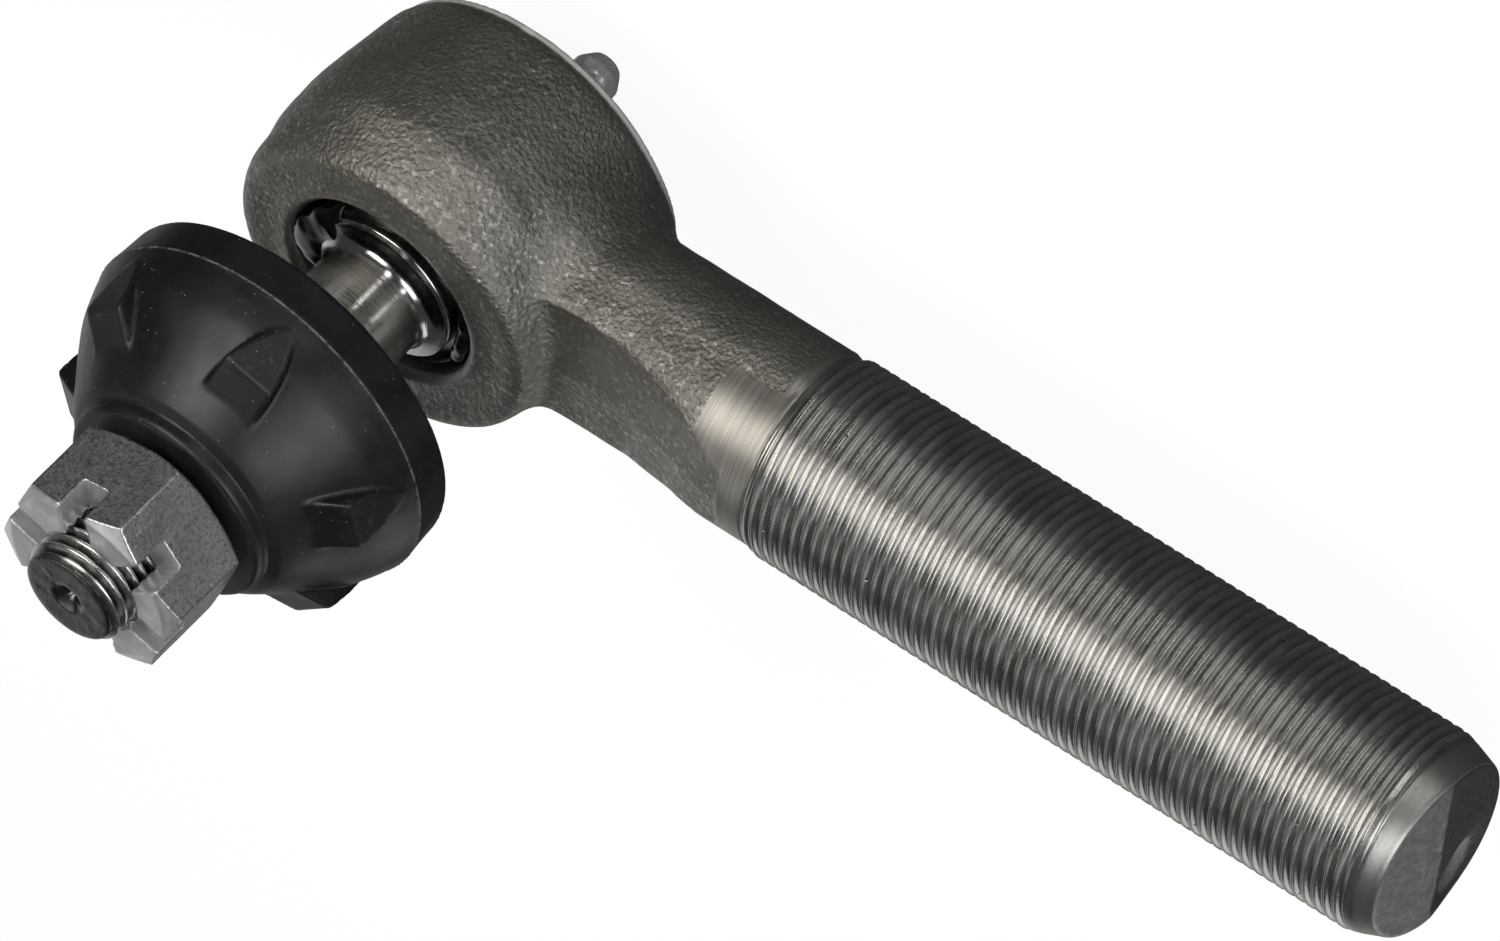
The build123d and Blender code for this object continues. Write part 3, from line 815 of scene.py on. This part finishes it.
def dust_cover():
    """Moulded dust cover with six wedge lugs and a raised parting line."""
    line = [(24.45, 30.2), (24.62, 33.0), (24.78, 35.0), (24.8, COVER_LINE_Z), (24.62, 35.8), (24.05, 37.5),
            (22.9, 40.2), (21.2, 42.9), (19.2, 45.8), (17.0, 48.8), (15.7, 50.3)]
    outer = curve_through(line, 6)
    inner = [(9.4, 48.7), (13.4, 48.6), (16.2, 46.2), (18.4, 43.2), (20.4, 39.8), (21.9, 36.6), (22.4, 34.6),
             (22.4, 31.6), (22.0, 30.9)]
    shell = [(22.0, 30.0), (24.2, 29.95), *outer.tolist(), (15.0, 50.75), (14.35, 50.95), (14.25, 52.2),
             (13.9, 52.72), (13.2, 52.8), (8.2, 52.8), (7.75, 52.4), (7.75, 49.9), *inner]
    shell_at = outline_field(shell)
    cut_at = outline_field([(7.75, 53), (7.75, 49.9), *inner, (21.9, 29), (0, 29), (0, 53)])
    # A lug's outer plane stands this far out at its low end and leans in; its end slopes off at the top.
    lug_reach, lug_lean, lug_low, lug_top = 24.25, 0.17, 37.0, 45.0

    def lugs(x, y, z):
        best = np.full(len(x), 1e9)
        for a in map(radians, LUG_ANGLES):
            out = x * cos(a) + y * sin(a)
            side = np.abs(y * cos(a) - x * sin(a))
            half = np.interp(z, *LUG_HALF_WIDTHS)
            plane = (out - (lug_reach - lug_lean * (z - lug_low))) * 0.98
            wall = z - lug_top + 0.5 * (out - 22.0)
            body = smooth_max((side - half) * 0.85, plane, 0.3)
            body = smooth_max(body, wall, 0.5)
            best = np.minimum(best, np.maximum(body, 17 - out))
        return best

    def shape(p):
        x, y, z = p[:, 0], p[:, 1], p[:, 2]
        r = np.hypot(x, y)
        solid = smooth_min(shell_at(r, z), lugs(x, y, z), 0.4)
        bead = np.hypot(r - 24.66, (z - COVER_LINE_Z) * 1.6) - 0.22
        solid = smooth_min(solid, bead, 0.1)
        return smooth_max(solid, -cut_at(r, z), 0.3)

    step = 0.4
    points, faces = skin(shape, (-25.8, -25.8, 29.0), (25.8, 25.8, 53.6), step)
    r = np.hypot(points[:, 0], points[:, 1])
    slope = outward(shape, points)
    points = points + slope * (0.05 * grain(points, 7.0, 41) + 0.012 * grain(points, 1.6, 42))[:, None]
    # Rubbed: the parting line, the rim and the lugs' outer edges.
    edge = np.exp(-(((r - 24.7) ** 2 + (points[:, 2] - COVER_LINE_Z) ** 2) / 0.16))
    rim = np.exp(-((points[:, 2] - 30.0) ** 2 / 0.2)) * 0.4
    lug = np.exp(-(lugs(points[:, 0], points[:, 1], points[:, 2]) / 0.3) ** 2) * (r > 21.5) * 0.5
    return mesh_piece("dust_cover_moulding", points, faces, rubber_finish(), "boot",
                      ("dust_cover",), {"edge": np.maximum(np.maximum(edge, rim), lug)})


def fitting():
    """Grease fitting: thread, hexagon, neck and coupling head with its ball seat."""
    outline = [(0, -14.7), (2.5, -14.7), (2.9, -15.1), (2.95, -22.6), (2.9, -22.9), (2.45, -23.5),
               (2.4, -26.0), (2.6, -26.6), (3.2, -27.5), (3.28, -27.8), (3.28, -29.1), (3.15, -29.4),
               (2.35, -30.75), (2.1, -31.1), (1.9, FITTING_TIP), (0, FITTING_TIP)]
    body_at = outline_field(outline, step=0.04, margin=3.0)
    hexagon_half, hexagon_half_height = 4.0, 2.45

    def shape(p):
        r = np.hypot(p[:, 0], p[:, 1])
        off_middle = np.abs(p[:, 2] - FITTING_HEX_MIDDLE)
        hexagon = np.maximum.reduce(six_sides(p[:, 0], p[:, 1])) - hexagon_half
        hexagon = smooth_max(hexagon, off_middle - hexagon_half_height, 0.1)
        hexagon = smooth_max(hexagon, (r - 4.75 + off_middle - 2.0) * 0.7, 0.1)
        solid = smooth_min(body_at(r, p[:, 2]), hexagon, 0.15)
        bore = np.maximum(r - 1.3, -30.2 - p[:, 2])
        hole = np.maximum(r - 0.8, p[:, 2] + 29)
        return smooth_max(solid, -np.minimum(bore, hole), 0.08)

    step = 0.16
    points, faces = skin(shape, (-5.2, -5.2, -31.8), (5.2, 5.2, -14.2), step, 2)
    faced = ramp(grain(points, 1.5, 51), -0.2, 0.5) * 0.7
    return mesh_piece("grease_fitting_body", points, faces,
                      zinc_finish("zinc_plate", 0.3, (0.94, 0.95, 0.97), (0.66, 0.67, 0.69), 0.008, 0.5),
                      "socket", ("grease_fitting",), {"faced": faced})


def grease():
    """Grease squeezed out of the gap between the half ball and the mouth, in two torn clumps."""

    def shape(p):
        r = np.hypot(p[:, 0], p[:, 1])
        around = np.degrees(np.arctan2(p[:, 1], p[:, 0])) % 360
        left = ramp(around, 118, 140) * ramp(-around, -212, -188)
        past = (around + 60) % 360
        right = ramp(past, 20, 34) * ramp(-past, -84, -66)
        share = np.maximum(left, right)
        lumps = 0.5 * grain(p, 2.9, 61) + 0.1 * grain(p, 1.3, 62)
        middle = 12.1 - 1.9 * left - 0.3 * right
        across = np.hypot((r - middle) / (1 + 1.3 * left), (p[:, 2] - 10.7 - 1.2 * left) * 1.05)
        bead = across - 0.2 - 0.95 * share - lumps * (0.25 + 0.6 * share)
        return np.maximum(bead, (10.35 - 2.7 * left) - r)

    step = 0.26
    points, faces = skin(shape, (-14.5, -14.5, 8.2), (14.5, 14.5, 14.6), step, 2)
    return mesh_piece("grease_beads", points, faces, grease_finish(), "swivel")


def dress_cad():
    """Fine-grained finishes for the cover plate and the pieces inside, whose CAD shapes stay."""
    steel = inner_finish("bearing_steel", (0.34, 0.33, 0.32), (0.55, 0.54, 0.52), 0.3, 0.2, 0.34, (1, 1, 0.1),
                         Metallic=1.0)
    liner = inner_finish("liner_polymer", (0.05, 0.05, 0.055), (0.1, 0.1, 0.105), 0.4, 0.35, 0.55)
    spring = inner_finish("spring_steel", (0.13, 0.125, 0.12), (0.28, 0.27, 0.26), 0.35, 0.3, 0.48,
                          Metallic=0.95)
    seal = inner_finish("seal_rubber", (0.012, 0.012, 0.012), (0.03, 0.03, 0.03), 0.3, 0.5, 0.7)
    plate = inner_finish("plate_zinc", (0.42, 0.42, 0.43), (0.66, 0.66, 0.67), 0.35, 0.24, 0.42, Metallic=1.0)
    finishes = {
        "half_ball": steel, "pressure_seat": steel, "fitting_check_ball": steel, "seat_liner": liner,
        "disc_spring": spring, "fitting_spring": spring, "cover_seal": seal, "cover_plate": plate,
        "fitting_spring_seat": plate,
    }
    for name, finish in finishes.items():
        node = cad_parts[name]
        node.data.materials.clear()
        node.data.materials.append(finish)


# ---------------------------------------------------------------- camera and light
RIGHT = Vector((0.7874, 0.0065, -0.6164)).normalized()
BACK = Vector((0.3660, 0.7996, 0.4760))
BACK = (BACK - RIGHT * BACK.dot(RIGHT)).normalized()
UP = BACK.cross(RIGHT)


def toward(right, up, back):
    """Direction in the row frame from its shares along the picture's right, up and towards the viewer."""
    return (RIGHT * right + UP * up + BACK * back).normalized()


def camera():
    """Long lens, in the photograph's direction and with its framing."""
    data = bpy.data.cameras.new("camera")
    data.sensor_width = 36.0
    data.lens = 361.93
    data.clip_start, data.clip_end = 0.05, 20.0
    made = bpy.data.objects.new("camera", data)
    across, lift, away = 36.493, -29.175, 1800.0
    place = (RIGHT * across + UP * lift + BACK * away) * MM
    turn = Matrix((RIGHT, UP, BACK)).transposed()
    made.matrix_world = Matrix.Translation(place) @ turn.to_4x4()
    bpy.context.scene.collection.objects.link(made)
    bpy.context.scene.camera = made


def softbox(name, direction, width, height, radiance, colour=(1, 1, 1)):
    """Area light that faces the object; its power follows from how bright its face is."""
    data = bpy.data.lights.new(name, "AREA")
    data.shape = "RECTANGLE"
    data.size, data.size_y = width, height
    data.energy = radiance * pi * width * height
    data.color = colour
    made = bpy.data.objects.new(name, data)
    made.location = direction * LIGHT_DISTANCE + LIGHT_AIM
    made.rotation_mode = "QUATERNION"
    made.rotation_quaternion = direction.to_track_quat("Z", "Y")
    made.visible_camera = False
    bpy.context.scene.collection.objects.link(made)


def studio():
    """White floor, white backdrop, surroundings that brighten on one side, and soft boxes."""
    mesh = bpy.data.meshes.new("floor")
    reach, level = 6.0, (FITTING_TIP - 0.3) * MM
    corners = [(x * reach, y * reach, level) for x, y in ((-1, -1), (1, -1), (1, 1), (-1, 1))]
    mesh.from_pydata(corners, [], [(0, 1, 2, 3)])
    floor = bpy.data.objects.new("floor", mesh)
    bpy.context.scene.collection.objects.link(floor)
    f = Finish("floor", Roughness=0.9, Specular_IOR_Level=0.1)
    f.set(f.bsdf, {"Base Color": (0.16, 0.16, 0.16, 1), "Emission Color": (1, 1, 1, 1)})
    f.set(f.bsdf, {"Emission Strength": 0.93})
    mesh.materials.append(f.mat)
    floor.visible_glossy = False
    floor.visible_diffuse = False
    floor.visible_shadow = False

    world = bpy.data.worlds.new("studio")
    bpy.context.scene.world = world
    world.use_nodes = True
    tree = world.node_tree
    surface = tree.nodes["Background"]
    surface.inputs["Color"].default_value = (1, 1, 1, 1)
    way = tree.nodes.new("ShaderNodeTexCoord").outputs["Generated"]
    facing = tree.nodes.new("ShaderNodeVectorMath")
    facing.operation = "DOT_PRODUCT"
    facing.inputs[1].default_value = toward(-0.45, -0.12, -0.88)
    tree.links.new(way, facing.inputs[0])
    fade = tree.nodes.new("ShaderNodeMapRange")
    for key, value in (("From Min", 0.74), ("From Max", 0.98), ("To Min", 0.045), ("To Max", 0.62)):
        fade.inputs[key].default_value = value
    tree.links.new(facing.outputs["Value"], fade.inputs["Value"])
    seen = tree.nodes.new("ShaderNodeLightPath").outputs["Is Camera Ray"]
    pick = tree.nodes.new("ShaderNodeMix")
    pick.inputs[3].default_value = 1.0
    tree.links.new(seen, pick.inputs[0])
    tree.links.new(fade.outputs["Result"], pick.inputs[2])
    tree.links.new(pick.outputs[0], surface.inputs["Strength"])

    warm = (1.0, 0.965, 0.9)
    softbox("key_left", toward(-0.62, 0.12, 0.75), 0.46, 0.46, 4.2, warm)
    softbox("fill_low", toward(0.16, -0.5, 0.85), 0.5, 0.42, 3.0, (0.94, 0.965, 1.0))
    softbox("under", toward(0.4, -0.75, -0.5), 0.5, 0.4, 0.9)
    softbox("strip_high", toward(0.25, 0.515, 0.819), 0.08, 0.5, 4.4)
    softbox("strip_right", toward(0.7, 0.0, 0.71), 0.09, 0.5, 2.6)
    softbox("side_low", toward(-0.84, -0.52, 0.12), 0.42, 0.42, 0.75)
    softbox("top", toward(-0.1, 0.98, 0.15), 0.4, 0.3, 0.15)


forging()
shank()
stud()
nut()
dust_cover()
fitting()
grease()
dress_cad()
camera()
studio()
bpy.context.scene.view_settings.view_transform = "Standard"
